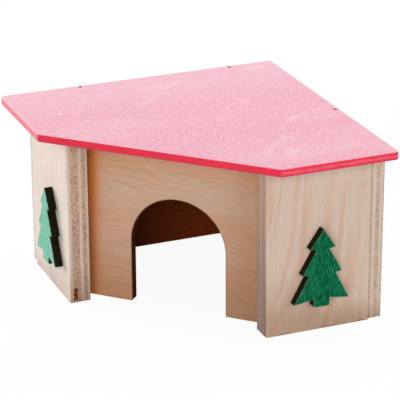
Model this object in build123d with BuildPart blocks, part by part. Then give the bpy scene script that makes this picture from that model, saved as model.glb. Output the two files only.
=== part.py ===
"""Corner house for a hamster: nailed and glued plywood, open to the floor, with a doorway.

The plan is a square corner with its front cut off diagonally. Distances in plan run from the rear
corner, along the left and along the right back edge. The doorway looks towards -Y, the floor is
z = 0, and the origin lies under the middle of the house's box.
"""
import os
from math import sqrt

from build123d import *

os.makedirs("parts", exist_ok=True)

# Roof, mm
roof_leg = 170  # each back edge, from the rear corner
roof_side = 69  # each side edge, square to a back edge
roof_thickness = 4.5
roof_corner_round = 2.5  # corners sanded round in plan
roof_edge_ease = 0.6  # top and bottom edges

# Walls
wall_height = 99.5
back_thickness = 8.5
back_recess = 1  # ends of the back walls behind the side panels' outer faces
back_edge_ease = 0.5
side_thickness = 12
side_length = 62.5  # from the back wall to the panel's front end
side_edge_ease = 1
side_overhang = 16  # roof beyond a side panel's outer face
front_thickness = 5.5
front_recess = 12.5  # behind the side panels' front ends, along their inner faces
glue_line = 0.1  # between glued faces

# Doorway, open to the floor with a round top
door_width = 57
door_centre_height = 37.3  # of the round top's centre

# Fir trees, glued to the side panels' outer faces
tree_thickness = 5
tree_height = 45.6
tree_foot_height = 15.7  # foot of the trunk above the floor
trunk_width = 9.6
trunk_height = 4.8
low_tier_width = 32.9
low_tier_height = 3  # of the tier's corners above the foot
low_notch_width = 16
low_notch_height = 19.2
middle_tier_width = 23.6
middle_tier_height = 19.8
high_notch_width = 7.8
high_notch_height = 33.8
high_tier_width = 15.4
high_tier_height = 34.4
left_tree_shift = 2.2  # from the middle of its panel, away from the rear corner
left_tree_lean = -1.1  # degrees, about the foot
right_tree_shift = -0.3
right_tree_lean = -0.6

# Brads
brad_diameter = 1.2
brad_head_diameter = 2
brad_head_height = 0.6
brad_point = 1.5
brad_sink = 0.3  # head below the wood's surface
brad_clearance = 0.05
roof_brad_length = 16
wall_brad_length = 25
roof_brad_inset = 2.5  # from the roof's back edges
corner_brad_distance = 28  # along the left wall, from the rear corner
left_brad_distance = 31  # from the left wall's front end
right_brad_distance = 58  # from the right wall's front end
panel_brad_distance = 28  # from the left side panel's front end
wall_brad_inset = 20  # from the floor and from the roof

# Where things meet
side_outer = roof_leg - side_overhang
side_inner = side_outer - side_thickness
side_middle = side_outer - side_thickness / 2
side_end = back_thickness + side_length
back_end = side_outer - back_recess
front_reach = side_inner + side_end - front_recess  # both plan distances added, on the front face

# The rear corner's plan plane: x runs along the left back edge, y along the right one.
left_way = Vector(-1, -1, 0).normalized()
right_way = Vector(1, -1, 0).normalized()
depth = (roof_leg + roof_side) / sqrt(2)  # from the rear corner to the roof's front edge
corner_point = Vector(0, depth / 2, 0)
corner = Plane(origin=corner_point, x_dir=left_way, z_dir=(0, 0, 1))
left_axis = Axis(corner_point, left_way)
right_axis = Axis(corner_point, right_way)

# Outer faces of the back walls, seen from behind, with y up
left_back = Plane(origin=corner_point, x_dir=left_way, z_dir=-right_way)
right_back = Plane(origin=corner_point, x_dir=-right_way, z_dir=-left_way)


def brad(length, clearance, top):
    """One brad driven down -Z, the wood's surface at z = 0; with a clearance, its hole."""
    head_radius = brad_head_diameter / 2 + clearance
    shank_radius = brad_diameter / 2 + clearance
    seat = -brad_sink - brad_head_height
    tip = -brad_sink - length
    with BuildPart() as one:
        with BuildSketch(Plane.XZ):
            with BuildLine():
                Polyline(
                    (0, top),
                    (head_radius, top),
                    (head_radius, seat),
                    (shank_radius, seat),
                    (shank_radius, tip + brad_point),
                    (0, tip - clearance),
                    close=True,
                )
            make_face()
        revolve(axis=Axis.Z)
    return one.part


roof_brad = brad(roof_brad_length, 0, -brad_sink)
roof_brad_hole = brad(roof_brad_length, brad_clearance, 0)
wall_brad = brad(wall_brad_length, 0, -brad_sink)
wall_brad_hole = brad(wall_brad_length, brad_clearance, 0)

roof_top = corner.offset(wall_height + roof_thickness)
left_roof_places = [
    roof_top * Pos(corner_brad_distance, roof_brad_inset),
    roof_top * Pos(back_end - left_brad_distance, roof_brad_inset),
]
right_roof_places = [roof_top * Pos(roof_brad_inset, back_end - right_brad_distance)]
panel_roof_places = [roof_top * Pos(side_middle, side_end - panel_brad_distance)]
roof_places = left_roof_places + right_roof_places + panel_roof_places

wall_brad_heights = (wall_brad_inset, wall_height - wall_brad_inset)
corner_places = [left_back * Pos(back_thickness / 2, height) for height in wall_brad_heights]
left_panel_places = [left_back * Pos(side_middle, height) for height in wall_brad_heights]
right_panel_places = [right_back * Pos(-side_middle, height) for height in wall_brad_heights]

# Roof: a square with its front corner cut off, lying on all the walls
with BuildPart() as roof_panel:
    with BuildSketch(corner.offset(wall_height)):
        with BuildLine():
            Polyline(
                (0, 0),
                (roof_leg, 0),
                (roof_leg, roof_side),
                (roof_side, roof_leg),
                (0, roof_leg),
                close=True,
            )
        make_face()
    extrude(amount=roof_thickness)
    fillet(roof_panel.edges().filter_by(Axis.Z), radius=roof_corner_round)
    fillet(roof_panel.faces().sort_by(Axis.Z)[-1].edges(), radius=roof_edge_ease)
    fillet(roof_panel.faces().sort_by(Axis.Z)[0].edges(), radius=roof_edge_ease)
    with Locations(*roof_places):
        add(roof_brad_hole, mode=Mode.SUBTRACT)
roof_panel.part.label = "roof_panel"
export_step(roof_panel.part, "parts/roof_panel.step")

# Left back wall: runs the whole length, past the end of the right one
with BuildPart() as back_wall_left:
    with BuildSketch(corner):
        Rectangle(back_end, back_thickness, align=(Align.MIN, Align.MIN))
    extrude(amount=wall_height)
    fillet(back_wall_left.edges().filter_by(Axis.Z).sort_by(left_axis)[-2:], radius=back_edge_ease)
    with Locations(*left_roof_places):
        add(roof_brad_hole, mode=Mode.SUBTRACT)
    with Locations(*corner_places, *left_panel_places):
        add(wall_brad_hole, mode=Mode.SUBTRACT)
back_wall_left.part.label = "back_wall_left"
export_step(back_wall_left.part, "parts/back_wall_left.step")

# Right back wall: its rear end butts on the left one
with BuildPart() as back_wall_right:
    with BuildSketch(corner):
        with Locations((0, back_thickness)):
            Rectangle(back_thickness, back_end - back_thickness, align=(Align.MIN, Align.MIN))
    extrude(amount=wall_height)
    fillet(back_wall_right.edges().filter_by(Axis.Z).sort_by(right_axis)[-2:], radius=back_edge_ease)
    with Locations(*right_roof_places):
        add(roof_brad_hole, mode=Mode.SUBTRACT)
    with Locations(*corner_places, *right_panel_places):
        add(wall_brad_hole, mode=Mode.SUBTRACT)
back_wall_right.part.label = "back_wall_right"
export_step(back_wall_right.part, "parts/back_wall_right.step")

# Side panels: thick boards standing square on the back walls' inner faces
with BuildPart() as side_panel_left:
    with BuildSketch(corner):
        with Locations((side_inner, back_thickness)):
            Rectangle(side_thickness, side_length, align=(Align.MIN, Align.MIN))
    extrude(amount=wall_height)
    fillet(side_panel_left.edges().filter_by(Axis.Z).sort_by(right_axis)[-2:], radius=side_edge_ease)
    with Locations(*panel_roof_places):
        add(roof_brad_hole, mode=Mode.SUBTRACT)
    with Locations(*left_panel_places):
        add(wall_brad_hole, mode=Mode.SUBTRACT)
side_panel_left.part.label = "side_panel_left"
export_step(side_panel_left.part, "parts/side_panel_left.step")

with BuildPart() as side_panel_right:
    with BuildSketch(corner):
        with Locations((back_thickness, side_inner)):
            Rectangle(side_length, side_thickness, align=(Align.MIN, Align.MIN))
    extrude(amount=wall_height)
    fillet(side_panel_right.edges().filter_by(Axis.Z).sort_by(left_axis)[-2:], radius=side_edge_ease)
    with Locations(*right_panel_places):
        add(wall_brad_hole, mode=Mode.SUBTRACT)
side_panel_right.part.label = "side_panel_right"
export_step(side_panel_right.part, "parts/side_panel_right.step")

# Front panel: stands diagonally between the side panels, its ends bevelled to their inner faces
panel_end = side_inner - glue_line
back_reach = front_reach - front_thickness * sqrt(2)
front = Plane(
    origin=corner_point - Vector(0, front_reach / sqrt(2), 0), x_dir=(1, 0, 0), z_dir=(0, -1, 0)
)
with BuildPart() as front_panel:
    with BuildSketch(corner):
        with BuildLine():
            Polyline(
                (panel_end, front_reach - panel_end),
                (front_reach - panel_end, panel_end),
                (back_reach - panel_end, panel_end),
                (panel_end, back_reach - panel_end),
                close=True,
            )
        make_face()
    extrude(amount=wall_height)
    with BuildSketch(front):
        Rectangle(door_width, door_centre_height, align=(Align.CENTER, Align.MIN))
        with Locations((0, door_centre_height)):
            Circle(door_width / 2)
    extrude(amount=-front_thickness, mode=Mode.SUBTRACT)
front_panel.part.label = "front_panel"
export_step(front_panel.part, "parts/front_panel.step")

# Fir trees: three tiers on a short trunk, lying flat on the side panels' outer faces
tree_distance = side_outer + glue_line
panel_middle = (back_thickness + side_end) / 2
left_foot = corner_point + left_way * tree_distance + right_way * (panel_middle + left_tree_shift)
right_foot = corner_point + right_way * tree_distance + left_way * (panel_middle + right_tree_shift)
foot_rise = Vector(0, 0, tree_foot_height)
left_tree_plane = Plane(origin=left_foot + foot_rise, x_dir=right_way, z_dir=left_way)
right_tree_plane = Plane(origin=right_foot + foot_rise, x_dir=-left_way, z_dir=right_way)

with BuildSketch() as fir:
    with BuildLine():
        Polyline(
            (0, 0),
            (trunk_width / 2, 0),
            (trunk_width / 2, trunk_height),
            (low_tier_width / 2, low_tier_height),
            (low_notch_width / 2, low_notch_height),
            (middle_tier_width / 2, middle_tier_height),
            (high_notch_width / 2, high_notch_height),
            (high_tier_width / 2, high_tier_height),
            (0, tree_height),
        )
        mirror(about=Plane.YZ)
    make_face()

with BuildPart() as tree_left:
    with BuildSketch(left_tree_plane * Rot(0, 0, left_tree_lean)):
        add(fir.sketch)
    extrude(amount=tree_thickness)
tree_left.part.label = "tree_left"
export_step(tree_left.part, "parts/tree_left.step")

with BuildPart() as tree_right:
    with BuildSketch(right_tree_plane * Rot(0, 0, right_tree_lean)):
        add(fir.sketch)
    extrude(amount=tree_thickness)
tree_right.part.label = "tree_right"
export_step(tree_right.part, "parts/tree_right.step")

# Brads: the roof's are short, and the walls' long ones reach the end of the next board
with BuildPart() as roof_brads:
    with Locations(*roof_places):
        add(roof_brad)
roof_brads.part.label = "roof_brads"
export_step(roof_brads.part, "parts/roof_brads.step")

with BuildPart() as wall_brads:
    with Locations(*corner_places, *left_panel_places, *right_panel_places):
        add(wall_brad)
wall_brads.part.label = "wall_brads"
export_step(wall_brads.part, "parts/wall_brads.step")
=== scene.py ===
"""The finished look of a wooden corner house for a hamster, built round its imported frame."""
from math import pi, radians, tan

import bmesh
import bpy
from mathutils import Matrix, Vector, noise


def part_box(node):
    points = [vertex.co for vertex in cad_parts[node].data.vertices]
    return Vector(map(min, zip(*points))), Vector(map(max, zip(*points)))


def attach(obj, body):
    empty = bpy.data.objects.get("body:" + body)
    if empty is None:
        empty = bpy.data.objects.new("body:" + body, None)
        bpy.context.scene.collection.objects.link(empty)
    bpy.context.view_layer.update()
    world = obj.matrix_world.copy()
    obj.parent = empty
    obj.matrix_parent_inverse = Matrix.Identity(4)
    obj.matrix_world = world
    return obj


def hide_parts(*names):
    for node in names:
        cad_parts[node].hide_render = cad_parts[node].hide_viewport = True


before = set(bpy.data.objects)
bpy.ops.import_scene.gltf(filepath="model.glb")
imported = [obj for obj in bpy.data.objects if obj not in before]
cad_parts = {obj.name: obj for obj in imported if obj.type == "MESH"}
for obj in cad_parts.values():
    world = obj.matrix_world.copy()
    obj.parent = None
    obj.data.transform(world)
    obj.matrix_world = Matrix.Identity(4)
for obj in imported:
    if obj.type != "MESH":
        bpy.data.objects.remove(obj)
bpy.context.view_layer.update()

# ---------------------------------------------------------------------------------------------
# Back walls. Two boards of 8.5 mm five-ply poplar plywood, sawn square and butted at the rear
# corner, where the left one covers the end of the right one. Their face grain runs level.
# ---------------------------------------------------------------------------------------------
rear_corner = Vector((0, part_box("back_wall_left")[1].y, 0))

# In plan coordinates x runs along the left back edge and y along the right one.
plan_turn = radians(-135)
plan = Matrix.Translation(rear_corner) @ Matrix.Rotation(plan_turn, 4, "Z")
to_plan = plan.inverted()
LEFTWARD, RIGHTWARD, UP = 0, 1, 2
touching = 1e-6


def box_of(points):
    """The lowest and the highest corner of the box round some points."""
    low = Vector([min(point[axis] for point in points) for axis in range(3)])
    high = Vector([max(point[axis] for point in points) for axis in range(3)])
    return low, high


def plan_box(node):
    """A node's lowest and highest corner in plan coordinates."""
    return box_of([to_plan @ vertex.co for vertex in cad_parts[node].data.vertices])


def ease(bm, edges, width, segments=4):
    """Sands arrises round."""
    bmesh.ops.bevel(
        bm, geom=edges, offset=width, offset_type="OFFSET", affect="EDGES",
        segments=segments, profile=0.5, material=-1, clamp_overlap=True,
    )


def slice_faces(bm, facing, across, low, high, step):
    """Cuts the faces that look along one axis into strips across another axis."""
    normal = Vector((0, 0, 0))
    normal[across] = 1
    count = max(1, round((high - low) / step))
    for i in range(1, count):
        level = low + (high - low) * i / count
        crossed = [
            face for face in bm.faces
            if abs(face.normal[facing]) > 0.999
            and min(vertex.co[across] for vertex in face.verts) < level - touching
            and max(vertex.co[across] for vertex in face.verts) > level + touching
        ]
        geometry = dict.fromkeys(crossed)
        for face in crossed:
            geometry.update(dict.fromkeys(face.edges))
            geometry.update(dict.fromkeys(face.verts))
        bmesh.ops.bisect_plane(
            bm, geom=list(geometry), dist=touching, plane_co=normal * level, plane_no=normal
        )


def saw(bm, low, high, run, thick, outer, glue_lines, grain):
    """Opens the end grain of a sawn board: plies cut across their grain sink a little, unevenly."""
    cross_grain = {run: UP, UP: run}
    for vertex in bm.verts:
        touched = [
            axis for axis in range(3)
            if min(vertex.co[axis] - low[axis], high[axis] - vertex.co[axis]) < touching
        ]
        if len(touched) != 1 or touched[0] == thick:
            continue
        sawn = touched[0]
        depth = abs(vertex.co[thick] - outer)
        passed = sum(depth > line for line in glue_lines)
        ply_grain = grain if passed % 2 == 0 else cross_grain[grain]
        rough = 0.6 + 0.4 * noise.noise(vertex.co * torn_fibres)
        pit = end_grain_pit if ply_grain == sawn else long_grain_pit
        inward = 1 if vertex.co[sawn] - low[sawn] < touching else -1
        vertex.co[sawn] += inward * pit * rough


torn_fibres = 700  # per metre
end_grain_pit = 0.00018
long_grain_pit = 0.00003


def drill(bm, mouths, radius, depth):
    """Bores a brad's hole at each mouth: a place on the surface and the way out of the wood."""
    board_mesh = bpy.data.meshes.new("undrilled")
    bm.to_mesh(board_mesh)
    bm.free()
    bits = bmesh.new()
    for place, outward in mouths:
        turn = outward.to_track_quat("Z", "Y").to_matrix().to_4x4()
        bmesh.ops.create_cone(
            bits, cap_ends=True, segments=20, radius1=radius, radius2=radius, depth=2 * depth,
            matrix=Matrix.Translation(place) @ turn,
        )
    bit_mesh = bpy.data.meshes.new("bits")
    bits.to_mesh(bit_mesh)
    bits.free()
    undrilled = bpy.data.objects.new("undrilled", board_mesh)
    bit = bpy.data.objects.new("bits", bit_mesh)
    for item in (undrilled, bit):
        bpy.context.scene.collection.objects.link(item)
    bore = undrilled.modifiers.new("bore", "BOOLEAN")
    bore.object = bit
    bore.operation = "DIFFERENCE"
    bore.solver = "EXACT"
    bpy.context.view_layer.update()
    drilled = bpy.data.meshes.new_from_object(
        undrilled.evaluated_get(bpy.context.evaluated_depsgraph_get())
    )
    result = bmesh.new()
    result.from_mesh(drilled)
    for item in (undrilled, bit):
        bpy.data.objects.remove(item)
    for mesh in (board_mesh, bit_mesh, drilled):
        bpy.data.meshes.remove(mesh)
    return result


def finish_piece(bm, node, materials, place=plan):
    """Puts a mesh where it belongs and hands it over as the piece that shows for a node."""
    bmesh.ops.transform(bm, matrix=place, verts=bm.verts)
    bmesh.ops.recalc_face_normals(bm, faces=bm.faces)
    mesh = bpy.data.meshes.new(node)
    bm.to_mesh(mesh)
    bm.free()
    for material in materials:
        mesh.materials.append(material)
    mesh.shade_smooth()
    mesh.set_sharp_from_angle(angle=crisp_angle)
    piece = bpy.data.objects.new(node, mesh)
    bpy.context.scene.collection.objects.link(piece)
    flats_first = piece.modifiers.new("flats_first", "WEIGHTED_NORMAL")
    flats_first.keep_sharp = True
    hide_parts(node)
    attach(piece, "root")


crisp_angle = radians(35)


class Finish:
    """A material under way: each method adds shader nodes and gives their output."""

    def __init__(self, name, specular=0.15):
        self.material = bpy.data.materials.new(name)
        self.material.use_nodes = True
        self.nodes = self.material.node_tree.nodes
        self.links = self.material.node_tree.links
        self.shader = self.nodes["Principled BSDF"]
        self.put(self.shader, "Specular IOR Level", specular)

    def put(self, node, socket, value):
        """Links an output to a socket, or sets the socket's own value."""
        if isinstance(value, bpy.types.NodeSocket):
            self.links.new(value, node.inputs[socket])
        else:
            node.inputs[socket].default_value = value

    def add(self, kind, sockets, output=0, **settings):
        """Adds a shader node with its sockets and settings, and gives one of its outputs."""
        node = self.nodes.new("ShaderNode" + kind)
        for name, value in settings.items():
            setattr(node, name, value)
        for socket, value in sockets.items():
            self.put(node, socket, value)
        return node.outputs[output]

    def math(self, operation, *values):
        return self.add("Math", dict(enumerate(values)), operation=operation)

    def plus(self, *values):
        total = values[0]
        for value in values[1:]:
            total = self.math("ADD", total, value)
        return total

    def times(self, *values):
        total = values[0]
        for value in values[1:]:
            total = self.math("MULTIPLY", total, value)
        return total

    def minus(self, first, second):
        return self.math("SUBTRACT", first, second)

    def noise(self, place, scale, detail=2.0, roughness=0.5):
        """Soft noise round one half, with about as many lumps to the metre as scale says."""
        return self.add("TexNoise", {
            "Vector": place, "Scale": scale, "Detail": detail, "Roughness": roughness,
        })

    def blend(self, amount, first, second, how="MIX"):
        """Goes from the first colour to the second, or lets the second tint the first."""
        sockets = {0: amount, 6: first, 7: second}
        return self.add("Mix", sockets, output=2, data_type="RGBA", blend_type=how)

    def shade(self, colour, amount):
        """Lightens or darkens a colour."""
        return self.blend(1.0, colour, self.join(amount, amount, amount), "MULTIPLY")

    def between(self, amount, first, second):
        """Goes from the first value to the second."""
        return self.add("Mix", {0: amount, 2: first, 3: second})

    def ramp(self, value, low, high, start=0.0, end=1.0):
        """Goes smoothly from start to end while the value goes from low to high."""
        return self.add("MapRange", {
            "Value": value, "From Min": low, "From Max": high, "To Min": start, "To Max": end,
        }, interpolation_type="SMOOTHSTEP")

    def length(self, x, y):
        """How long a step of x and y is."""
        return self.math("POWER", self.plus(self.times(x, x), self.times(y, y)), 0.5)

    def split(self, vector):
        node = self.nodes.new("ShaderNodeSeparateXYZ")
        self.put(node, 0, vector)
        return list(node.outputs)

    def join(self, x, y, z):
        return self.add("CombineXYZ", {0: x, 1: y, 2: z})

    def plan_place(self):
        """The point in plan coordinates."""
        place = self.add("TexCoord", {}, output="Object")
        turned = self.add("Mapping", {
            "Vector": place, "Location": to_plan.to_translation(), "Rotation": (0, 0, -plan_turn),
        })
        return self.split(turned)

    def plan_facing(self):
        """How far the surface looks along each plan axis, either way."""
        normal = self.add("TexCoord", {}, output="Normal")
        turned = self.add("Mapping", {"Vector": normal, "Rotation": (0, 0, -plan_turn)})
        return [self.math("ABSOLUTE", part) for part in self.split(turned)]

    def fuzz(self, weight, roughness, tint):
        """Raised fibres, which look pale where they are seen edge on."""
        self.put(self.shader, "Sheen Weight", weight)
        self.put(self.shader, "Sheen Roughness", roughness)
        self.put(self.shader, "Sheen Tint", tint)

    def surface(self, colour, roughness, height, relief):
        """Gives the material its colour and roughness, and its height as fine relief."""
        self.put(self.shader, "Base Color", colour)
        self.put(self.shader, "Roughness", roughness)
        bump = self.add("Bump", {"Height": height, "Distance": relief, "Strength": 1.0})
        self.put(self.shader, "Normal", bump)


def veneer(finish, along, across, bent, depth, tones, figure):
    """Colour and height of a planed ply: growth lines, fibres, cloudy tone and short dark pores.

    bent is the distance across the growth lines, which may lie aslant of the fibres. The figure
    gives their gap, how many gaps they stray, where in the gap they start, how strong they are
    and how softly they end.
    """
    pale, warm, rosy, dark = tones
    gap, stray, start, strength, softness = figure
    stretched = finish.join(bent, depth, finish.times(along, 0.16))
    fibres = finish.join(across, depth, finish.times(along, 0.05))
    flecks = finish.join(across, depth, finish.times(along, 0.12))
    cloud = finish.noise(stretched, 34.0, 3.0, 0.55)
    wander = finish.noise(finish.join(bent, depth, finish.times(along, 0.3)), 27.0, 3.0, 0.5)
    crowding = finish.noise(finish.join(bent, depth, 0.0), 55.0, 1.0)
    phase = finish.plus(
        finish.times(bent, 1 / gap), finish.times(wander, stray), finish.times(crowding, 4.0)
    )
    ring = finish.math("FRACT", phase)
    late = finish.times(
        finish.ramp(ring, start, 0.96 - softness), finish.ramp(ring, 1.0, 1.0 - softness)
    )
    presence = finish.ramp(finish.noise(stretched, 70.0, 2.0), 0.40, 0.64, 0.1, 1.0)
    streaks = finish.noise(fibres, 360.0, 2.0)
    threads = finish.noise(flecks, 1150.0, 2.0, 0.6)
    pores = finish.ramp(finish.noise(flecks, 1700.0, 1.0), 0.66, 0.80)
    colour = finish.blend(finish.ramp(cloud, 0.36, 0.64), pale, rosy)
    colour = finish.blend(finish.times(late, presence, strength), colour, warm)
    colour = finish.blend(finish.times(pores, 0.45), colour, dark)
    fine = finish.plus(0.74, finish.times(streaks, 0.20), finish.times(threads, 0.32))
    height = finish.minus(finish.plus(finish.times(threads, 0.7), finish.times(late, -0.2)), pores)
    return finish.shade(colour, fine), height


def end_grain(finish, place, tones):
    """Colour and height of wood sawn across its fibres: dull, with dark slanting tears."""
    plain, dark = tones
    slanting = finish.add(
        "Mapping", {"Vector": place, "Rotation": (0, 0, radians(35)), "Scale": (1, 2, 1)},
        vector_type="TEXTURE",
    )
    tears = finish.ramp(finish.noise(slanting, 1600.0, 2.0, 0.6), 0.55, 0.62)
    mouths = finish.ramp(finish.noise(place, 1900.0, 1.0), 0.56, 0.66)
    clumps = finish.noise(place, 420.0, 2.0)
    colour = finish.blend(finish.plus(finish.times(tears, 0.9), finish.times(mouths, 0.5)), plain, dark)
    colour = finish.shade(colour, finish.ramp(clumps, 0.3, 0.7, 0.94, 1.05))
    return colour, finish.times(finish.plus(tears, mouths), -1.0)


def plies(finish, depth, glue_lines):
    """Which plies lie across the face grain, and how near a glue line is, each from 0 to 1."""
    cross = 0.0
    glue = 0.0
    for i, line in enumerate(glue_lines):
        past = finish.math("GREATER_THAN", depth, line)
        cross = finish.math("ADD" if i % 2 == 0 else "SUBTRACT", cross, past)
        away = finish.math("ABSOLUTE", finish.minus(depth, line))
        glue = finish.math("MAXIMUM", glue, finish.ramp(away, glue_soak, 0.0))
    return cross, glue


glue_soak = 0.0003
ply_wobble = 0.0006


def plywood_look(finish, along, across, bent, depth, look_along, look_across, glue_lines,
                 face_tones, end_tones, figure):
    """Colour and height all over a plywood board, from the grain of each ply.

    along and across are distances along and across the face grain, depth is from the outer face.
    """
    wobble = finish.noise(finish.join(along, across, depth), 220.0)
    uneven = finish.plus(depth, finish.times(wobble, ply_wobble), -ply_wobble / 2)
    cross, glue = plies(finish, uneven, glue_lines)
    ply_along = finish.between(cross, along, across)
    ply_across = finish.between(cross, across, along)
    ply_bent = finish.between(cross, bent, along)
    cut_square = finish.between(cross, look_along, look_across)
    planed, planed_height = veneer(
        finish, ply_along, ply_across, ply_bent, depth, face_tones, figure
    )
    sawn, sawn_height = end_grain(finish, finish.join(ply_across, depth, ply_along), end_tones)
    amount = finish.ramp(cut_square, 0.35, 0.85)
    colour = finish.blend(amount, planed, sawn)
    height = finish.between(amount, planed_height, sawn_height)
    broken = finish.ramp(finish.noise(finish.join(along, across, depth), 700.0, 2.0), 0.42, 0.62)
    edge = finish.math("MAXIMUM", look_along, look_across)
    stripe = finish.times(glue, broken, finish.ramp(edge, 0.5, 0.8))
    return finish.blend(finish.times(stripe, 0.5), colour, end_tones[1]), height


def painted_foot_shade(finish, colour, height, reach, tone):
    """Paints shade on the wood toward the floor, darkest in a thin line along the edge it stands on."""
    low = finish.ramp(finish.math("DIVIDE", height, reach), 1.0, 0.0)
    colour = finish.blend(low, colour, tone, "MULTIPLY")
    return finish.blend(finish.ramp(height, 0.0011, 0.0003, 0.0, 0.75), colour, tone, "MULTIPLY")


def wall_finish(node, run, thick, outer, glue_lines, grain, lean, face_tones, end_tones,
                figure, foot_shade_heights, end_painted_shade, fibre_tint):
    """Bare sanded plywood for an upright board, with painted shade toward its foot and down its sawn
    end.

    lean is how far the growth lines stray toward the board's free end from its top to its foot.
    The heights of the painted shade at its foot are those at the board's rear end and at its free end.
    """
    finish = Finish(node + "_plywood")
    low, high = plan_box(node)
    place = finish.plan_place()
    facing = finish.plan_facing()
    depth = finish.math("ABSOLUTE", finish.minus(place[thick], outer))
    other = {run: UP, UP: run}[grain]
    bent = place[other]
    # leaning growth lines bow out more and more toward the foot
    if lean:
        down = finish.math("MAXIMUM", finish.minus(1.0, finish.times(place[UP], 10.0)), 0.0)
        sway = finish.ramp(place[run], low[run], high[run], 0.15 * lean, lean)
        bent = finish.minus(bent, finish.times(finish.math("POWER", down, 1.6), sway))
    colour, height = plywood_look(
        finish, place[grain], place[other], bent, depth, facing[grain], facing[other],
        glue_lines, face_tones, end_tones, figure,
    )
    # painted shade: the sawn end is darker low down
    sawn = finish.ramp(facing[run], 0.35, 0.85)
    shaded_end = finish.times(sawn, finish.ramp(place[UP], *end_shade_heights))
    colour = finish.blend(shaded_end, colour, end_painted_shade, "MULTIPLY")
    # painted shade toward the floor, its top edge waved by noise and changing along the board
    shade_wobble = finish.noise(finish.join(*place), 60.0, 3.0)
    shade_height = finish.plus(place[UP], finish.times(shade_wobble, 0.010), -0.005)
    reach = finish.ramp(place[run], low[run], high[run], *foot_shade_heights)
    colour = painted_foot_shade(finish, colour, shade_height, reach, foot_shade_tone)
    roughness = finish.ramp(height, -1.0, 0.6, 0.8, 0.5)
    finish.surface(colour, roughness, height, wood_relief)
    finish.fuzz(1.0, 0.5, fibre_tint)
    return finish.material


wood_relief = 0.0001
# heights where the painted shade down the sawn ends starts and is strongest
end_shade_heights = (0.088, 0.022)  # from none to most
# tone of the painted shade at the boards' foot
foot_shade_tone = (0.70, 0.60, 0.51, 1)
poplar_tones = (
    (0.77, 0.60, 0.47, 1), (0.72, 0.43, 0.255, 1), (0.79, 0.60, 0.495, 1), (0.40, 0.25, 0.16, 1)
)
bare_fibre = (1.0, 0.97, 0.93, 1)

# the inner faces are coloured a dark red-brown, which paints in the shade inside the house
inner_shade_tones = (
    (0.24, 0.045, 0.009, 1), (0.17, 0.028, 0.006, 1), (0.22, 0.04, 0.008, 1), (0.08, 0.014, 0.004, 1)
)
inner_figure = (0.004, 5.0, 0.4, 0.6, 0.1)
inner_shade_finish = Finish("shaded_inner_veneer", 0.05)
inner_place = inner_shade_finish.plan_place()
inner_shade_colour, inner_height = veneer(
    inner_shade_finish, inner_place[LEFTWARD], inner_place[UP], inner_place[UP], inner_place[RIGHTWARD],
    inner_shade_tones, inner_figure,
)
inner_shade_finish.surface(inner_shade_colour, 0.75, inner_height, wood_relief)


def board(node, run, thick, outer, glue_lines, grain, free_arris, materials, step,
          brads=(), void=None):
    """A sawn plywood board that fills a node's place, the arrises of its free end sanded round.

    The materials are for the wood, its inner face and the gap in its core.
    """
    low, high = plan_box(node)
    bm = bmesh.new()
    bmesh.ops.create_cube(bm, size=1)
    bmesh.ops.scale(bm, vec=high - low, verts=bm.verts)
    bmesh.ops.translate(bm, vec=(high + low) / 2, verts=bm.verts)
    free_end = [
        edge for edge in bm.edges
        if all(high[run] - vertex.co[run] < touching for vertex in edge.verts)
        and min(vertex.co.z for vertex in edge.verts) < touching
    ]
    ease(bm, free_end, free_arris)
    bm.normal_update()
    for facing, second in ((run, UP), (UP, run)):
        slice_faces(bm, facing, thick, low[thick], high[thick], ply_step)
        slice_faces(bm, facing, second, low[second], high[second], step)
    for face in bm.faces:
        if abs(face.calc_center_median()[thick] - outer) > high[thick] - low[thick] - touching:
            face.material_index = 1
    saw(bm, low, high, run, thick, outer, glue_lines, grain)
    if void:
        void(bm, high)
    if brads:
        bm = drill(bm, brads, brad_hole_radius, brad_hole_depth)
    finish_piece(bm, node, materials)


ply_step = 0.0005
brad_hole_radius = 0.00105
brad_hole_depth = 0.0009


def brad_solids(node):
    """Each brad's lowest and highest corner in plan coordinates."""
    bm = bmesh.new()
    bm.from_mesh(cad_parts[node].data)
    bmesh.ops.remove_doubles(bm, verts=bm.verts, dist=touching)
    boxes = []
    waiting = set(bm.verts)
    while waiting:
        found = [waiting.pop()]
        for vertex in found:
            linked = {edge.other_vert(vertex) for edge in vertex.link_edges} & waiting
            waiting -= linked
            found.extend(linked)
        boxes.append(box_of([to_plan @ vertex.co for vertex in found]))
    bm.free()
    return sorted(boxes, key=lambda box: tuple(round(value, 4) for value in box[0]))


def brad_mouths(node):
    """Where each brad enters the wood, and the way out of it."""
    mouths = []
    for low, high in brad_solids(node):
        size = high - low
        along = max(range(3), key=lambda axis: size[axis])
        mouth = (low + high) / 2
        outward = Vector((0, 0, 0))
        if along == UP:
            mouth.z = high.z + brad_sink
            outward.z = 1
        else:
            mouth[along] = low[along] - brad_sink
            outward[along] = -1
        mouths.append((mouth, outward))
    return mouths


brad_sink = 0.0003  # head below the wood's surface
wall_glue_lines = (0.0008, 0.0027, 0.0047, 0.0072)  # from the outer face
wall_arris = 0.0005
# the left back wall's sawn end is a paler copy of the right's, a painted sheen for an end seen edge on
wall_end_tones = {
    "back_wall_left": ((0.80, 0.70, 0.66, 1), (0.56, 0.44, 0.40, 1)),
    "back_wall_right": ((0.73, 0.55, 0.43, 1), (0.44, 0.28, 0.18, 1)),
}
# the left wall's whiter fibre tint belongs to the same lit copy
wall_fibre = {"back_wall_left": (1.0, 1.0, 1.0, 1), "back_wall_right": bare_fibre}
wall_figure = (0.0042, 5.0, 0.4, 0.55, 0.1)
# how high the painted shade reaches at the back walls' foot
wall_foot_shade_heights = (0.016, 0.012)
# painted shade down the back walls' sawn ends
wall_end_shade = (0.96, 0.95, 0.94, 1)
wall_step = 0.0012

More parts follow.
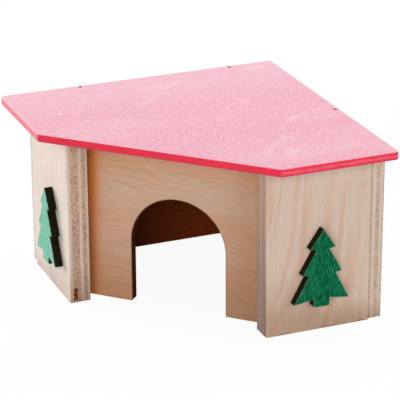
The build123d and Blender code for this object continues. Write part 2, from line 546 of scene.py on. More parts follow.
for node, run, thick in (
    ("back_wall_left", LEFTWARD, RIGHTWARD), ("back_wall_right", RIGHTWARD, LEFTWARD)
):
    plywood = wall_finish(
        node, run, thick, 0.0, wall_glue_lines, run, 0.0, poplar_tones, wall_end_tones[node],
        wall_figure, wall_foot_shade_heights, wall_end_shade, wall_fibre[node],
    )
    own_brads = [
        (mouth, outward) for mouth, outward in brad_mouths("wall_brads") if outward[thick] < 0
    ]
    board(
        node, run, thick, 0.0, wall_glue_lines, run, wall_arris,
        [plywood, inner_shade_finish.material], wall_step, own_brads,
    )

# ---------------------------------------------------------------------------------------------
# Side panels. Two short boards of 12 mm five-ply plywood with upright face grain, glued and
# nailed square on the back walls. The left one's sawn end shows a gap in its second ply.
# ---------------------------------------------------------------------------------------------
side_outer = plan_box("side_panel_left")[1].x
side_glue_lines = {
    "side_panel_left": (0.0016, 0.0060, 0.0081, 0.0102),
    "side_panel_right": (0.0015, 0.0045, 0.0073, 0.0105),
}
# the two side panels are lit and shaded copies of one plywood: the left face's paler, bluer tones are a
# painted sheen for a face seen edge on
side_tones = {
    "side_panel_left": (
        (0.77, 0.61, 0.49, 1), (0.72, 0.45, 0.29, 1), (0.79, 0.61, 0.52, 1), (0.40, 0.25, 0.16, 1)
    ),
    "side_panel_right": (
        (0.745, 0.58, 0.455, 1), (0.70, 0.40, 0.24, 1), (0.755, 0.57, 0.47, 1), (0.40, 0.25, 0.16, 1)
    ),
}
# the right panel's sawn end has deeper, more orange tones than the left's, a painted shade for an end
# in shadow
side_end_tones = {
    "side_panel_left": ((0.70, 0.465, 0.325, 1), (0.27, 0.13, 0.075, 1)),
    "side_panel_right": ((0.83, 0.40, 0.175, 1), (0.32, 0.12, 0.04, 1)),
}
# painted shade down the side panels' sawn ends, far stronger on the right one
side_end_shade = {
    "side_panel_left": (0.86, 0.83, 0.81, 1), "side_panel_right": (0.52, 0.36, 0.27, 1)
}
side_figure = (0.012, 2.6, 0.10, 0.52, 0.35)
side_arris = 0.0016
side_step = 0.0007


def push(bm, faces, step):
    """Extrudes faces by a step and gives the new vertices."""
    extruded = bmesh.ops.extrude_face_region(bm, geom=faces)["geom"]
    verts = [item for item in extruded if isinstance(item, bmesh.types.BMVert)]
    bmesh.ops.translate(bm, vec=step, verts=verts)
    return verts


def core_gap(bm, high):
    """Sinks the gap where the second ply lacks a piece of core veneer."""
    gap = [
        face for face in bm.faces
        if face.calc_center_median().y > high.y - end_skin
        and gap_depths[0] < side_outer - face.calc_center_median().x < gap_depths[1]
        and gap_heights[0] < face.calc_center_median().z < gap_heights[1]
    ]
    sunk = push(bm, gap, (0, -gap_sink, 0))
    bmesh.ops.delete(bm, geom=gap, context="FACES")
    for vertex in sunk:
        for face in vertex.link_faces:
            face.material_index = 2


end_skin = 0.0005  # the sunk end grain lies within it
gap_depths = (0.0017, 0.0042)
gap_heights = (0.0020, 0.0090)
gap_sink = 0.0016
gap_relief = 0.0003

bark_finish = Finish("core_gap", 0.05)
bark_place = bark_finish.add("TexCoord", {}, output="Object")
bark_lumps = bark_finish.noise(bark_place, 900.0, 2.0)
bark_finish.surface(
    bark_finish.blend(
        bark_finish.ramp(bark_lumps, 0.4, 0.62), (0.10, 0.022, 0.005, 1), (0.42, 0.15, 0.05, 1)
    ),
    0.8, bark_lumps, gap_relief,
)

# each panel's lean, the heights of the painted shade at its foot, its fibre tint, whiter on the left as
# part of its lit copy, and its core gap
for node, run, thick, lean, foot_shade_heights, fibre, void in (
    ("side_panel_left", RIGHTWARD, LEFTWARD, 0.003, (0.010, 0.025), (1.0, 0.99, 0.95, 1), core_gap),
    ("side_panel_right", LEFTWARD, RIGHTWARD, 0.024, (0.016, 0.046), bare_fibre, None),
):
    plywood = wall_finish(
        node, run, thick, side_outer, side_glue_lines[node], UP, lean, side_tones[node],
        side_end_tones[node], side_figure, foot_shade_heights, side_end_shade[node], fibre,
    )
    board(
        node, run, thick, side_outer, side_glue_lines[node], UP, side_arris,
        [plywood, inner_shade_finish.material, bark_finish.material], side_step, void=void,
    )

# ---------------------------------------------------------------------------------------------
# Front panel. A 5.5 mm three-ply sheet with a warm tan face and level grain, its round-topped
# doorway cut by laser, which left the edge scorched. It is glued between the side panels.
# ---------------------------------------------------------------------------------------------
front_low, front_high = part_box("front_panel")
front_face, front_back = front_low.y, front_high.y
back_half = front_high.x
front_half = back_half - (front_back - front_face)
door_width = 0.057
door_half = door_width / 2
door_centre_height = 0.0373
door_foot_round = 0.0008
front_arris = 0.0002
arch_steps = 48

bm = bmesh.new()
outline = [
    (-door_half, 0), (-front_half, 0), (-front_half, front_high.z),
    (front_half, front_high.z), (front_half, 0), (door_half, 0), (door_half, door_centre_height),
]
corners = [bm.verts.new((x, front_face, z)) for x, z in outline]
for first, second in zip(corners, corners[1:]):
    bm.edges.new((first, second))
bmesh.ops.spin(
    bm, geom=[corners[-1]], cent=(0, front_face, door_centre_height), axis=(0, -1, 0),
    dvec=(0, 0, 0), angle=pi, steps=arch_steps, use_merge=False, use_duplicate=False,
)
bm.verts.ensure_lookup_table()
bm.edges.new((bm.verts[-1], corners[0]))
sheet = bmesh.ops.contextual_create(bm, geom=bm.edges[:])["faces"]
for vertex in push(bm, sheet, (0, front_back - front_face, 0)):
    if abs(abs(vertex.co.x) - front_half) < touching:
        vertex.co.x *= back_half / front_half
bmesh.ops.recalc_face_normals(bm, faces=bm.faces)
door_feet = [
    edge for edge in bm.edges
    if all(v.co.z < touching and abs(abs(v.co.x) - door_half) < touching for v in edge.verts)
]
ease(bm, door_feet, door_foot_round)
rim = [
    edge for edge in bm.edges
    if all(vertex.co.y < front_face + touching for vertex in edge.verts)
]
ease(bm, rim, front_arris, 2)
bm.normal_update()
for face in bm.faces:
    middle = face.calc_center_median()
    in_doorway = abs(middle.x) < door_half + touching and middle.z > touching
    if face.normal.y > 0.9:
        face.material_index = 1
    elif in_doorway and abs(face.normal.y) < 0.9:
        face.material_index = 2

tan_tones = (
    (0.75, 0.505, 0.355, 1), (0.72, 0.35, 0.175, 1), (0.75, 0.46, 0.305, 1), (0.40, 0.17, 0.08, 1)
)
tan_end_tones = ((0.40, 0.22, 0.13, 1), (0.2, 0.09, 0.05, 1))
tan_figure = (0.0034, 7.0, 0.60, 0.55, 0.12)
front_glue_lines = (0.0015, 0.004)
# glue stain and painted corner shade beside the side panels
glue_and_shade_tone = (0.76, 0.245, 0.050, 1)
flame_tone = (0.73, 0.40, 0.22, 1)
# painted shade: a darker tint low on the face; painted warm light: a warmer tint under the roof
painted_low_shade = (0.95, 0.93, 0.94, 1)
painted_roof_glow = (1.08, 0.955, 0.93, 1)
burn_tone = (0.22, 0.07, 0.02, 1)
burn_width = 0.0008
# painted shade at the foot of the face, and how high it reaches
front_foot_shade_tone = (0.80, 0.68, 0.56, 1)
front_foot_shade_height = 0.050
# how far from a side panel the glue's marks, with their painted corner shade and painted warm haze,
# start and are full
glue_and_shade_reach = (0.0145, 0.0062)
left_warm_haze_reach = (0.022, 0.006)
right_warm_haze_reach = (0.032, 0.009)

tan_wood = Finish("tan_plywood", 0.12)
x, y, z = tan_wood.split(tan_wood.add("TexCoord", {}, output="Object"))
facing = tan_wood.split(tan_wood.add("TexCoord", {}, output="Normal"))
nx, nz = tan_wood.math("ABSOLUTE", facing[0]), tan_wood.math("ABSOLUTE", facing[2])
depth = tan_wood.minus(y, front_face)
# the growth lines run a little downhill to the right
sloping = tan_wood.plus(z, tan_wood.times(x, 0.05))
colour, height = plywood_look(
    tan_wood, x, z, sloping, depth, nx, nz, front_glue_lines, tan_tones, tan_end_tones, tan_figure
)
flame = tan_wood.noise(tan_wood.join(tan_wood.times(x, 0.4), y, z), 60.0, 3.0)
colour = tan_wood.blend(tan_wood.ramp(flame, 0.52, 0.72, 0.0, 0.45), colour, flame_tone)
# painted shade: the face is darker low down and darkest at its foot; painted warm light lies just under
# the roof
blots = tan_wood.times(tan_wood.noise(tan_wood.join(x, y, z), 130.0, 3.0), 0.003)
colour = tan_wood.blend(tan_wood.ramp(z, 0.085, 0.035), colour, painted_low_shade, "MULTIPLY")
colour = painted_foot_shade(
    tan_wood, colour, tan_wood.plus(z, blots), front_foot_shade_height, front_foot_shade_tone
)
colour = tan_wood.blend(tan_wood.ramp(z, 0.0790, 0.0875), colour, painted_roof_glow, "MULTIPLY")

# glue soaked in beside the side panels, with painted corner shade and painted warm bounce: a stain on
# the left, then a haze high up on either side, glue and painted warm light
lower = tan_wood.ramp(z, 0.060, 0.025, 0.0, 0.0014)
from_left = tan_wood.plus(x, front_half, blots, lower, -0.0015)
from_right = tan_wood.plus(tan_wood.minus(front_half, x), blots, -0.0015)
soaked_and_shaded = tan_wood.plus(
    tan_wood.ramp(from_left, *glue_and_shade_reach, 0.0, 0.8),
    tan_wood.times(
        tan_wood.ramp(from_left, *left_warm_haze_reach), tan_wood.ramp(z, 0.045, 0.085, 0.10, 0.28)
    ),
    tan_wood.times(
        tan_wood.ramp(from_right, *right_warm_haze_reach), tan_wood.ramp(z, 0.064, 0.082, 0.12, 0.30)
    ),
)
# painted shade: the glue and shade tone darkens low down
soaked_and_shaded_tone = tan_wood.shade(glue_and_shade_tone, tan_wood.ramp(z, 0.0, 0.09, 0.78, 1.0))
colour = tan_wood.blend(soaked_and_shaded, colour, soaked_and_shaded_tone)

# a thin brown burn round the doorway's mouth
up_from_centre = tan_wood.math("MAXIMUM", tan_wood.minus(z, door_centre_height), 0.0)
from_door = tan_wood.minus(tan_wood.length(x, up_from_centre), door_half)
burn = tan_wood.ramp(from_door, burn_width, 0.0, 0.0, 0.85)
colour = tan_wood.blend(burn, colour, burn_tone)
tan_wood.surface(colour, 0.6, height, wood_relief)
tan_wood.fuzz(0.35, 0.5, (1, 0.90, 0.80, 1))

# the burnt edge itself, its middle ply a little lighter
scorch_finish = Finish("scorched_doorway", 0.02)
place = scorch_finish.add("TexCoord", {}, output="Object")
soot = scorch_finish.noise(place, 900.0, 3.0)
depth = scorch_finish.minus(scorch_finish.split(place)[1], front_face)
middle_ply = scorch_finish.times(
    scorch_finish.math("GREATER_THAN", depth, front_glue_lines[0]),
    scorch_finish.math("LESS_THAN", depth, front_glue_lines[1]),
)
scorch_finish.surface(
    scorch_finish.blend(
        scorch_finish.times(scorch_finish.plus(soot, middle_ply), 0.6),
        (0.010, 0.002, 0.0006, 1), (0.075, 0.018, 0.006, 1),
    ),
    0.8, soot, wood_relief,
)
finish_piece(
    bm, "front_panel", [tan_wood.material, inner_shade_finish.material, scorch_finish.material],
    place=Matrix(),
)

# ---------------------------------------------------------------------------------------------
# Roof. A 4.5 mm three-ply sheet, a square with its front corner cut off, nailed on the walls.
# Its edges and corners are sanded round and it is washed with pink stain, which the end grain
# drinks up dark. Its underside is bare.
# ---------------------------------------------------------------------------------------------
roof_low, roof_high = plan_box("roof_panel")
roof_leg = roof_high.x
roof_side = 0.069
roof_corner_round = 0.0025
roof_edge_ease = 0.0006
roof_grid = 0.004
rim_wobble = 0.00015
rim_waves = 70  # per metre

bm = bmesh.new()
corners = [
    bm.verts.new((left, right, roof_low.z))
    for left, right in (
        (0, 0), (roof_leg, 0), (roof_leg, roof_side), (roof_side, roof_leg), (0, roof_leg)
    )
]
push(bm, [bm.faces.new(corners)], (0, 0, roof_high.z - roof_low.z))
bmesh.ops.recalc_face_normals(bm, faces=bm.faces)


def is_upright(edge):
    """Whether an edge runs through a sheet's thickness."""
    return abs(edge.verts[0].co.z - edge.verts[1].co.z) > touching


def is_cut_corner(edge):
    """Whether an upright edge ends the cut across the front corner."""
    return abs(edge.verts[0].co.x + edge.verts[0].co.y - roof_leg - roof_side) < touching


square_corners = [edge for edge in bm.edges if is_upright(edge) and not is_cut_corner(edge)]
ease(bm, square_corners, roof_corner_round, 8)
cut_corners = [edge for edge in bm.edges if is_upright(edge) and is_cut_corner(edge)]
ease(bm, cut_corners, roof_corner_round * tan(radians(22.5)), 5)
ease(bm, [edge for edge in bm.edges if not is_upright(edge)], roof_edge_ease, 3)
bm.normal_update()
for across in (LEFTWARD, RIGHTWARD):
    normal = Vector((0, 0, 0))
    normal[across] = 1
    for i in range(1, round(roof_leg / roof_grid)):
        bmesh.ops.bisect_plane(
            bm, geom=bm.verts[:] + bm.edges[:] + bm.faces[:], dist=touching,
            plane_co=normal * i * roof_grid, plane_no=normal,
        )
roof_middle = Vector((roof_leg / 2, roof_leg / 2, 0))
for vertex in bm.verts:
    u, v = vertex.co.x, vertex.co.y
    from_rim = min(u, v, roof_leg - u, roof_leg - v, (roof_leg + roof_side - u - v) / 2 ** 0.5)
    if from_rim < 2 * roof_edge_ease:
        unevenness = 0.6 + 0.4 * noise.noise(Vector((u, v, 0)) * rim_waves)
        inward = (roof_middle - Vector((u, v, 0))).normalized()
        vertex.co += inward * rim_wobble * unevenness
bm = drill(bm, brad_mouths("roof_brads"), brad_hole_radius, brad_hole_depth)

fresh_pink = (0.885, 0.44, 0.535, 1)
soaked_pink = (0.80, 0.235, 0.355, 1)
paler_pink = (0.87, 0.46, 0.545, 1)
deeper_pink = (0.84, 0.28, 0.395, 1)
scuffed_pink = (0.95, 0.74, 0.78, 1)
crimson = (0.95, 0.030, 0.075, 1)
coral = (0.95, 0.13, 0.20, 1)
dark_crimson = (0.55, 0.010, 0.035, 1)
# painted shade along the edges' lowest arris
shaded_lowest_crimson = (0.62, 0.02, 0.05, 1)
# painted sheen and shade: the short left edge's tone is made paler and less red
painted_sheen_edge = (0.885, 1.19, 1.21, 1)  # times the edge's own tone
worn_pink = (0.97, 0.60, 0.68, 1)
pooled_stain = (0.60, 0.03, 0.07, 1)
flaked_stain = (1, 0.92, 0.94, 1)
bare_under = (0.74, 0.56, 0.44, 1)
roof_glue_lines = (0.0015, 0.0030)
pink_relief = 0.00008
dimple_reach = (0.0016, 0.0011)
back_strip = 0.02
# rubbed places: from and to in plan coordinates, and the width and strength of each
scuffs = (
    ((0.0918, 0.0190), (0.0800, 0.0195), 0.0030, 0.9),
    ((0.0800, 0.0235), (0.0664, 0.0164), 0.0032, 1.0),
    ((0.0920, 0.0390), (0.1007, 0.0459), 0.0034, 0.8),
    ((0.0930, 0.0400), (0.0870, 0.0330), 0.0024, 0.7),
    ((0.0069, 0.1027), (0.0248, 0.1055), 0.0020, 0.7),
    ((0.0248, 0.1055), (0.0268, 0.0966), 0.0020, 0.6),
    ((0.0268, 0.0966), (0.0353, 0.1032), 0.0034, 0.8),
    ((0.0400, 0.1080), (0.0447, 0.1133), 0.0044, 0.6),
    ((0.0474, 0.1247), (0.0638, 0.1413), 0.0024, 0.6),
    ((0.0638, 0.1413), (0.0723, 0.1522), 0.0036, 0.5),
    ((0.0490, 0.1450), (0.0550, 0.1495), 0.0060, 0.6),
    ((0.0160, 0.1500), (0.0240, 0.1540), 0.0075, 0.4),
    ((0.0120, 0.0090), (0.0210, 0.0100), 0.0060, 0.8),
    ((0.0400, 0.0600), (0.0470, 0.0650), 0.0024, 0.7),
)

pink = Finish("pink_stain", 0.12)
u, v, z = pink.plan_place()
nu, nv, nz = pink.plan_facing()
depth = pink.minus(roof_high.z, z)
roof_place = pink.join(u, v, z)
grain = pink.noise(pink.join(u, pink.times(v, 0.05), z), 420.0, 3.0, 0.6)
flecks = pink.noise(roof_place, 600.0, 3.0, 0.8)
pits = pink.noise(pink.join(u, pink.times(v, 0.35), z), 1500.0, 1.0)
colour = pink.blend(pink.ramp(flecks, 0.36, 0.64), soaked_pink, fresh_pink)
colour = pink.shade(colour, pink.ramp(grain, 0.3, 0.7, 0.975, 1.02))
drift = pink.noise(pink.join(pink.times(u, 0.45), v, z), 34.0, 4.0, 0.6)
colour = pink.blend(pink.ramp(drift, 0.5, 0.7, 0.0, 0.5), colour, paler_pink)
colour = pink.blend(pink.ramp(drift, 0.48, 0.3, 0.0, 0.6), colour, deeper_pink)
# the stain is thinner along the left back edge
thinner = pink.plus(v, pink.times(drift, 0.06), -0.03)
colour = pink.blend(pink.ramp(thinner, 0.060, 0.015, 0.0, 0.5), colour, paler_pink)


def near_line(finish, u, v, start, end, width):
    """1 on a straight stroke, 0 beyond its width."""
    run = Vector(end) - Vector(start)
    du, dv = finish.minus(u, start[0]), finish.minus(v, start[1])
    share = finish.plus(
        finish.times(du, run.x / run.length_squared), finish.times(dv, run.y / run.length_squared)
    )
    share = finish.math("MINIMUM", finish.math("MAXIMUM", share, 0.0), 1.0)
    off_u = finish.minus(du, finish.times(share, run.x))
    off_v = finish.minus(dv, finish.times(share, run.y))
    return finish.ramp(finish.length(off_u, off_v), width, 0.0)


wavering = pink.times(pink.noise(roof_place, 200.0, 3.0, 0.6), 0.006)
wavy_u = pink.plus(u, wavering, -0.003)
wavy_v = pink.plus(v, pink.times(wavering, -0.7), 0.002)
rubbed = 0.0
for start, end, width, strength in scuffs:
    stroke = near_line(pink, wavy_u, wavy_v, start, end, width)
    rubbed = pink.math("MAXIMUM", rubbed, pink.times(stroke, strength))
crumbs = pink.ramp(pink.noise(roof_place, 560.0, 3.0, 0.7), 0.40, 0.62, 0.15, 1.0)
rubbed = pink.times(rubbed, crumbs, pink.ramp(nz, 0.8, 0.95, 0.0, 0.62))
colour = pink.blend(rubbed, colour, scuffed_pink)

# end grain has drunk the stain, long grain less
ragged = pink.plus(depth, pink.times(pink.noise(roof_place, 500.0, 2.0), 0.0016), -0.0008)
cross = plies(pink, ragged, roof_glue_lines)[0]
end_cut = pink.ramp(pink.between(cross, nv, nu), 0.3, 0.7)
specks = pink.ramp(pink.noise(roof_place, 900.0, 2.0), 0.48, 0.66, 0.0, 0.8)
spots = pink.ramp(pink.noise(roof_place, 1100.0, 2.0), 0.60, 0.72, 0.0, 0.6)
streak_place = pink.join(pink.times(u, 0.15), pink.times(v, 0.15), z)
streaks = pink.ramp(pink.noise(streak_place, 700.0, 2.0), 0.3, 0.7, 0.93, 1.05)
edge_colour = pink.blend(specks, coral, crimson)
edge_colour = pink.blend(end_cut, edge_colour, crimson)
edge_colour = pink.blend(spots, edge_colour, dark_crimson)
edge_colour = pink.shade(edge_colour, streaks)
above_under = pink.minus(z, roof_low.z)
# painted shade: the edges darken along their lowest arris
edge_colour = pink.blend(
    pink.ramp(above_under, 0.0008, 0.0002, 0.0, 0.5), edge_colour, shaded_lowest_crimson
)
# the short left edge is painted paler and less red, a painted sheen and shade for an edge seen edge on,
# and rounder
leftness = pink.minus(nu, nv)
edge_colour = pink.blend(pink.ramp(leftness, 0.6, 0.9), edge_colour, painted_sheen_edge, "MULTIPLY")
rounder = pink.ramp(leftness, 0.2, 0.4, 0.0, 0.3)
on_edge = pink.ramp(pink.plus(nz, rounder), 0.74, 0.95, 1.0, 0.0)
colour = pink.blend(on_edge, colour, edge_colour)
arris = pink.times(
    pink.ramp(nz, 0.84, 0.95), pink.ramp(nz, 0.9995, 0.985), pink.ramp(depth, 0.0009, 0.0005),
    pink.ramp(pink.noise(roof_place, 240.0, 3.0), 0.35, 0.55, 0.3, 0.9),
)
colour = pink.blend(arris, colour, worn_pink)


def stained_over(mouth):
    """Whether a brad stands by a back edge, where the stain went over its head."""
    return min(mouth.x, mouth.y) < back_strip


# the stain pools in the dimples of the brads at the back, and has flaked off the one in front
for mouth, _ in brad_mouths("roof_brads"):
    distance = pink.length(pink.minus(u, mouth.x), pink.minus(v, mouth.y))
    ring_tone, strength = (pooled_stain, 0.9) if stained_over(mouth) else (flaked_stain, 0.6)
    ring = pink.ramp(distance, *dimple_reach, 0.0, strength)
    colour = pink.blend(ring, colour, ring_tone)

# bare underside, with stain run in round its rim
rim_distance = pink.math("MINIMUM", u, v)
for gap in (
    pink.minus(roof_leg + roof_side, pink.plus(u, v)), pink.minus(roof_leg, u),
    pink.minus(roof_leg, v),
):
    rim_distance = pink.math("MINIMUM", rim_distance, gap)
run_in = pink.ramp(pink.plus(rim_distance, pink.times(wavering, 1.5)), 0.004, 0.011)
under = pink.times(pink.ramp(nz, 0.9, 0.99), pink.ramp(above_under, 0.0004, 0.0001), run_in)
bare = pink.shade(bare_under, pink.ramp(flecks, 0.25, 0.75, 0.9, 1.05))
colour = pink.blend(under, colour, bare)
height = pink.plus(flecks, pink.times(pits, 0.5))
pink.surface(colour, pink.ramp(flecks, 0.3, 0.7, 0.5, 0.65), height, pink_relief)
pink.fuzz(0.55, 0.5, (1.0, 0.92, 0.95, 1))
finish_piece(bm, "roof_panel", [pink.material])

# ---------------------------------------------------------------------------------------------
# Fir trees. Cut by laser from 5 mm plywood, which left their edges black, stained green and
# glued to the side panels' outer faces, each a little off its panel's middle and askew.
# ---------------------------------------------------------------------------------------------
tree_thickness = 0.005
tree_foot_height = 0.0157
trunk_round = 0.0007
tree_arris = 0.0004
fir_half = (
    (0.0048, 0), (0.0048, 0.0048), (0.01645, 0.003), (0.008, 0.0192), (0.0118, 0.0198),
    (0.0039, 0.0338), (0.0077, 0.0344),
)
fir_tip = (0, 0.0456)
fir_greens = ((0.0010, 0.110, 0.045, 1), (0.0025, 0.155, 0.064, 1))
pale_fibre = (0.024, 0.27, 0.125, 1)
dark_fibre = (0.0004, 0.055, 0.022, 1)
# painted sheen: a pale mint mottle for a face seen edge on
painted_sheen_tone = (0.22, 0.60, 0.36, 1)
fir_relief = 0.00014


def green_stain(node, thick, fuzz_roughness, fuzz_tint, sheen_bloom, worn_and_lit_tone):
    """Green water stain on upright grain, paler along the face's arris, part wear and part painted
    highlight.

    The bloom argument says how strongly a pale painted sheen mottles the face.
    """
    finish = Finish(node + "_stain", 0.03)
    u, v, z = finish.plan_place()
    broad = finish.noise(finish.join(u, v, finish.times(z, 0.12)), 330.0, 2.0, 0.5)
    fibres = finish.noise(finish.join(u, v, finish.times(z, 0.15)), 1900.0, 2.0, 0.6)
    colour = finish.blend(finish.ramp(broad, 0.3, 0.7), *fir_greens)
    colour = finish.blend(finish.ramp(fibres, 0.51, 0.62, 0.0, 0.65), colour, pale_fibre)
    colour = finish.blend(finish.ramp(fibres, 0.48, 0.37, 0.0, 0.65), colour, dark_fibre)
    mottle = finish.noise(finish.join(finish.times(u, 0.35), finish.times(v, 0.35), z), 700.0, 2.0)
    # painted sheen: a pale mint mottle over the face
    colour = finish.blend(finish.ramp(mottle, 0.40, 0.64, 0.0, sheen_bloom), colour, painted_sheen_tone)
    # the arris is paler, part wear and part painted highlight
    toward = finish.plan_facing()[thick]
    patches = finish.ramp(finish.noise(finish.join(u, v, z), 260.0, 2.0), 0.42, 0.58, 0.25, 0.9)
    worn_and_lit = finish.times(
        finish.ramp(toward, 0.995, 0.95), finish.ramp(toward, 0.30, 0.45), patches
    )
    colour = finish.blend(worn_and_lit, colour, worn_and_lit_tone)
    finish.surface(colour, 0.55, finish.plus(fibres, mottle), fir_relief)
    finish.fuzz(1.0, fuzz_roughness, fuzz_tint)
    return finish.material


char_finish = Finish("scorched_edge", 0.05)
soot = char_finish.noise(char_finish.add("TexCoord", {}, output="Object"), 900.0, 3.0)
char_finish.surface(
    char_finish.blend(
        char_finish.ramp(soot, 0.35, 0.7), (0.006, 0.005, 0.0015, 1), (0.022, 0.018, 0.006, 1)
    ),
    0.7, soot, wood_relief,
)

# how far each fir stands off its panel's middle, its lean in degrees, and its stain: the roughness and
# tint of its fuzz, how strongly a pale painted sheen mottles it, and its arris tone. Both firs wear one
# stain; the left fir's is a lit copy, its stronger fuzz, pale mottle and paler arris a painted sheen
# and highlight for a face seen edge on
firs = {
    "tree_left": (0.0022, -1.1, (0.62, (0.46, 0.97, 0.80, 1), 0.42, (0.60, 0.85, 0.60, 1))),
    "tree_right": (-0.0003, -0.6, (0.36, (0.30, 1.0, 0.80, 1), 0.0, (0.17, 0.30, 0.16, 1))),
}
# the outline's own x, y and z axes in plan coordinates
fir_axes = {
    "tree_left": Matrix(((0, 0, 1), (1, 0, 0), (0, 1, 0))),
    "tree_right": Matrix(((-1, 0, 0), (0, 0, 1), (0, 1, 0))),
}
for node, run, thick in (("tree_left", RIGHTWARD, LEFTWARD), ("tree_right", LEFTWARD, RIGHTWARD)):
    shift, lean, stain = firs[node]
    bm = bmesh.new()
    half = [bm.verts.new((x, y, 0)) for x, y in ((0, 0),) + fir_half + (fir_tip,)]
    bm.faces.new(half)
    bmesh.ops.mirror(
        bm, geom=bm.verts[:] + bm.edges[:] + bm.faces[:], axis="X", merge_dist=touching
    )
    bmesh.ops.recalc_face_normals(bm, faces=bm.faces)
    push(bm, bm.faces[:], (0, 0, tree_thickness))
    middle_seam = [
        edge for edge in bm.edges
        if all(abs(v.co.x) < touching for v in edge.verts) and not is_upright(edge)
    ]
    bmesh.ops.dissolve_edges(bm, edges=middle_seam, use_verts=False)
    bmesh.ops.recalc_face_normals(bm, faces=bm.faces)
    trunk_corners = [
        edge for edge in bm.edges
        if is_upright(edge) and edge.verts[0].co.y < touching and abs(edge.verts[0].co.x) > touching
    ]
    ease(bm, trunk_corners, trunk_round, 3)
    rim = [
        edge for edge in bm.edges
        if all(v.co.z > tree_thickness - touching for v in edge.verts)
        and len(edge.link_faces) == 2 and edge.calc_face_angle() > radians(45)
    ]
    ease(bm, rim, tree_arris, 3)
    bm.normal_update()
    for face in bm.faces:
        face.material_index = 0 if abs(face.normal.z) > 0.5 else 1
    panel_low, panel_high = plan_box(node.replace("tree", "side_panel"))
    foot = Vector((0, 0, tree_foot_height))
    foot[thick] = plan_box(node)[0][thick]
    foot[run] = (panel_low[run] + panel_high[run]) / 2 + shift
    upright = Matrix.Translation(foot) @ fir_axes[node].to_4x4()
    finish_piece(
        bm, node, [green_stain(node, thick, *stain), char_finish.material],
        place=plan @ upright @ Matrix.Rotation(radians(lean), 4, "Z"),
    )

# ---------------------------------------------------------------------------------------------
# Brads. Steel wire, 1.2 mm thick with 2 mm heads, punched just below the surface. The three
# along the roof's back edges were washed over with the stain, the one in front is rubbed bright
# and those in the walls have dulled.
# ---------------------------------------------------------------------------------------------
brad_radius = 0.0006
brad_head_radius = 0.001
brad_head_height = 0.0006
brad_point = 0.0015
head_rim = 0.0001
punch_mark = 0.0002
wire_relief = 0.00001
film_relief = 0.00002


def bare_wire(name, dull, bright, roughness):
    """Drawn steel wire, its cut head left bare."""
    wire = Finish(name, 0.5)
    scale = wire.noise(wire.add("TexCoord", {}, output="Object"), 2500.0, 3.0)
    wire.surface(
        wire.blend(scale, dull, bright), wire.ramp(scale, 0.3, 0.7, roughness - 0.1, roughness + 0.1),
        scale, wire_relief,
    )
    wire.put(wire.shader, "Metallic", 1.0)
    return wire.material


wire_looks = {
    "roof_brads": bare_wire("rubbed_wire", (0.84, 0.82, 0.80, 1), (0.97, 0.96, 0.95, 1), 0.55),
    "wall_brads": bare_wire("dull_wire", (0.40, 0.385, 0.37, 1), (0.60, 0.58, 0.56, 1), 0.35),
}

stained_finish = Finish("stained_brad_head", 0.3)
film = stained_finish.noise(stained_finish.add("TexCoord", {}, output="Object"), 1800.0, 3.0)
film_colour = stained_finish.blend(film, (0.28, 0.012, 0.03, 1), (0.5, 0.03, 0.07, 1))
stained_finish.surface(film_colour, 0.5, film, film_relief)


def add_brad(bm, mouth, outward, length, material_index):
    """Spins one brad's outline and drives it in below the mouth."""
    profile = (
        (0, -punch_mark), (punch_mark, -punch_mark / 2), (brad_head_radius - head_rim, 0),
        (brad_head_radius, -head_rim), (brad_head_radius, -brad_head_height),
        (brad_radius, -brad_head_height - head_rim), (brad_radius, brad_point - length),
        (0, -length),
    )
    before = set(bm.verts)
    chain = [bm.verts.new((radius, 0, height)) for radius, height in profile]
    edges = [bm.edges.new(pair) for pair in zip(chain, chain[1:])]
    bmesh.ops.spin(
        bm, geom=chain + edges, cent=(0, 0, 0), axis=(0, 0, 1), dvec=(0, 0, 0), angle=2 * pi,
        steps=20, use_merge=True, use_duplicate=False,
    )
    new = [vertex for vertex in bm.verts if vertex not in before]
    bmesh.ops.remove_doubles(bm, verts=new, dist=touching)
    new = [vertex for vertex in bm.verts if vertex not in before]
    turn = outward.to_track_quat("Z", "Y").to_matrix().to_4x4()
    sunk = Matrix.Translation(mouth - outward * brad_sink) @ turn
    bmesh.ops.transform(bm, matrix=sunk, verts=new)
    for vertex in new:
        for face in vertex.link_faces:
            face.material_index = material_index


for node in ("roof_brads", "wall_brads"):
    bm = bmesh.new()
    for (mouth, outward), (low, high) in zip(brad_mouths(node), brad_solids(node)):
        washed_over = node == "roof_brads" and stained_over(mouth)
        add_brad(bm, mouth, outward, max(high - low), 1 if washed_over else 0)
    finish_piece(bm, node, [wire_looks[node], stained_finish.material])

# ---------------------------------------------------------------------------------------------
# Floor, light and camera. The floor looks white but throws little light back on the house. Five
# soft square lamps stand round it, and a long lens looks down on it from the right.
# ---------------------------------------------------------------------------------------------
floor_grey = 0.3  # what the floor throws back on the house
floor_shadow = 0.06  # share of real light and shadow in the floor that the camera sees

floor_finish = Finish("white_floor", 0.0)
floor_mesh = bpy.data.meshes.new("floor")
bm = bmesh.new()
bmesh.ops.create_grid(bm, x_segments=1, y_segments=1, size=3)
bm.to_mesh(floor_mesh)
bm.free()
floor = bpy.data.objects.new("floor", floor_mesh)
bpy.context.scene.collection.objects.link(floor)


def seen_directly(nodes, links):
    """1 for what the camera sees straight, in a gloss or through glass."""
    path = nodes.new("ShaderNodeLightPath")
    total = path.outputs["Is Camera Ray"]
    for ray in ("Is Glossy Ray", "Is Transmission Ray"):
        either = nodes.new("ShaderNodeMath")
        either.operation = "MAXIMUM"
        links.new(total, either.inputs[0])
        links.new(path.outputs[ray], either.inputs[1])
        total = either.outputs[0]
    return total


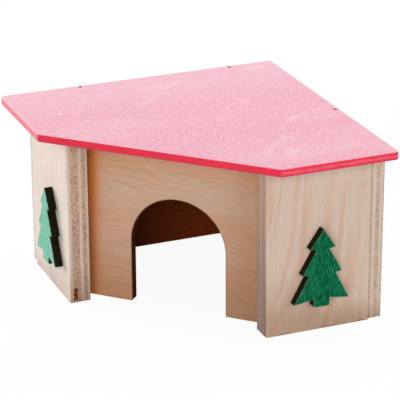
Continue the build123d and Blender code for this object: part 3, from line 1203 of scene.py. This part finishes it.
seen = seen_directly(floor_finish.nodes, floor_finish.links)
grey = floor_finish.between(seen, floor_grey, 1.0)
floor_finish.put(floor_finish.shader, "Base Color", floor_finish.join(grey, grey, grey))
floor_finish.put(floor_finish.shader, "Roughness", 1.0)
glow = floor_finish.add("Emission", {"Color": (1, 1, 1, 1), "Strength": 1.0})
share = floor_finish.times(seen, 1 - floor_shadow)
paper = floor_finish.add("MixShader", {0: share, 1: floor_finish.shader.outputs[0], 2: glow})
floor_finish.links.new(paper, floor_finish.nodes["Material Output"].inputs["Surface"])
floor_mesh.materials.append(floor_finish.material)

ambient_level = 0.11
world = bpy.data.worlds.new("studio")
bpy.context.scene.world = world
world.use_nodes = True
nodes, links = world.node_tree.nodes, world.node_tree.links
ambient = nodes["Background"]
ambient.inputs["Color"].default_value = (1, 1, 1, 1)
ambient.inputs["Strength"].default_value = ambient_level
backdrop = nodes.new("ShaderNodeBackground")
backdrop.inputs["Color"].default_value = (1, 1, 1, 1)
mix = nodes.new("ShaderNodeMixShader")
links.new(seen_directly(nodes, links), mix.inputs[0])
links.new(ambient.outputs[0], mix.inputs[1])
links.new(backdrop.outputs[0], mix.inputs[2])
links.new(mix.outputs[0], nodes["World Output"].inputs[0])


house_middle = Vector((0, 0, 0.05))


def softbox(name, place, size, power):
    """A square lamp that looks at the middle of the house."""
    data = bpy.data.lights.new(name, "AREA")
    data.size = size
    data.energy = power
    lamp = bpy.data.objects.new(name, data)
    lamp.location = place
    lamp.rotation_euler = (house_middle - Vector(place)).to_track_quat("-Z", "Y").to_euler()
    bpy.context.scene.collection.objects.link(lamp)


softbox("right_softbox", (1.4, -0.7, 0.6), 0.8, 9.1)
softbox("front_softbox", (0.25, -1.5, 0.4), 1.0, 11.9)
softbox("left_softbox", (-1.5, 0.15, 0.35), 0.8, 22)
softbox("back_softbox", (0.2, 1.5, 0.6), 1.0, 10)
softbox("top_softbox", (0, 0, 1.5), 1.2, 9.3)

camera_data = bpy.data.cameras.new("camera")
camera_data.sensor_width = 36
camera_data.lens = 185.68
camera = bpy.data.objects.new("camera", camera_data)
camera.location = (0.42208, -1.02362, 0.49238)
camera.rotation_euler = (radians(67.984), radians(0.2596), radians(22.820))
bpy.context.scene.collection.objects.link(camera)
bpy.context.scene.camera = camera
bpy.context.scene.view_settings.view_transform = "Standard"
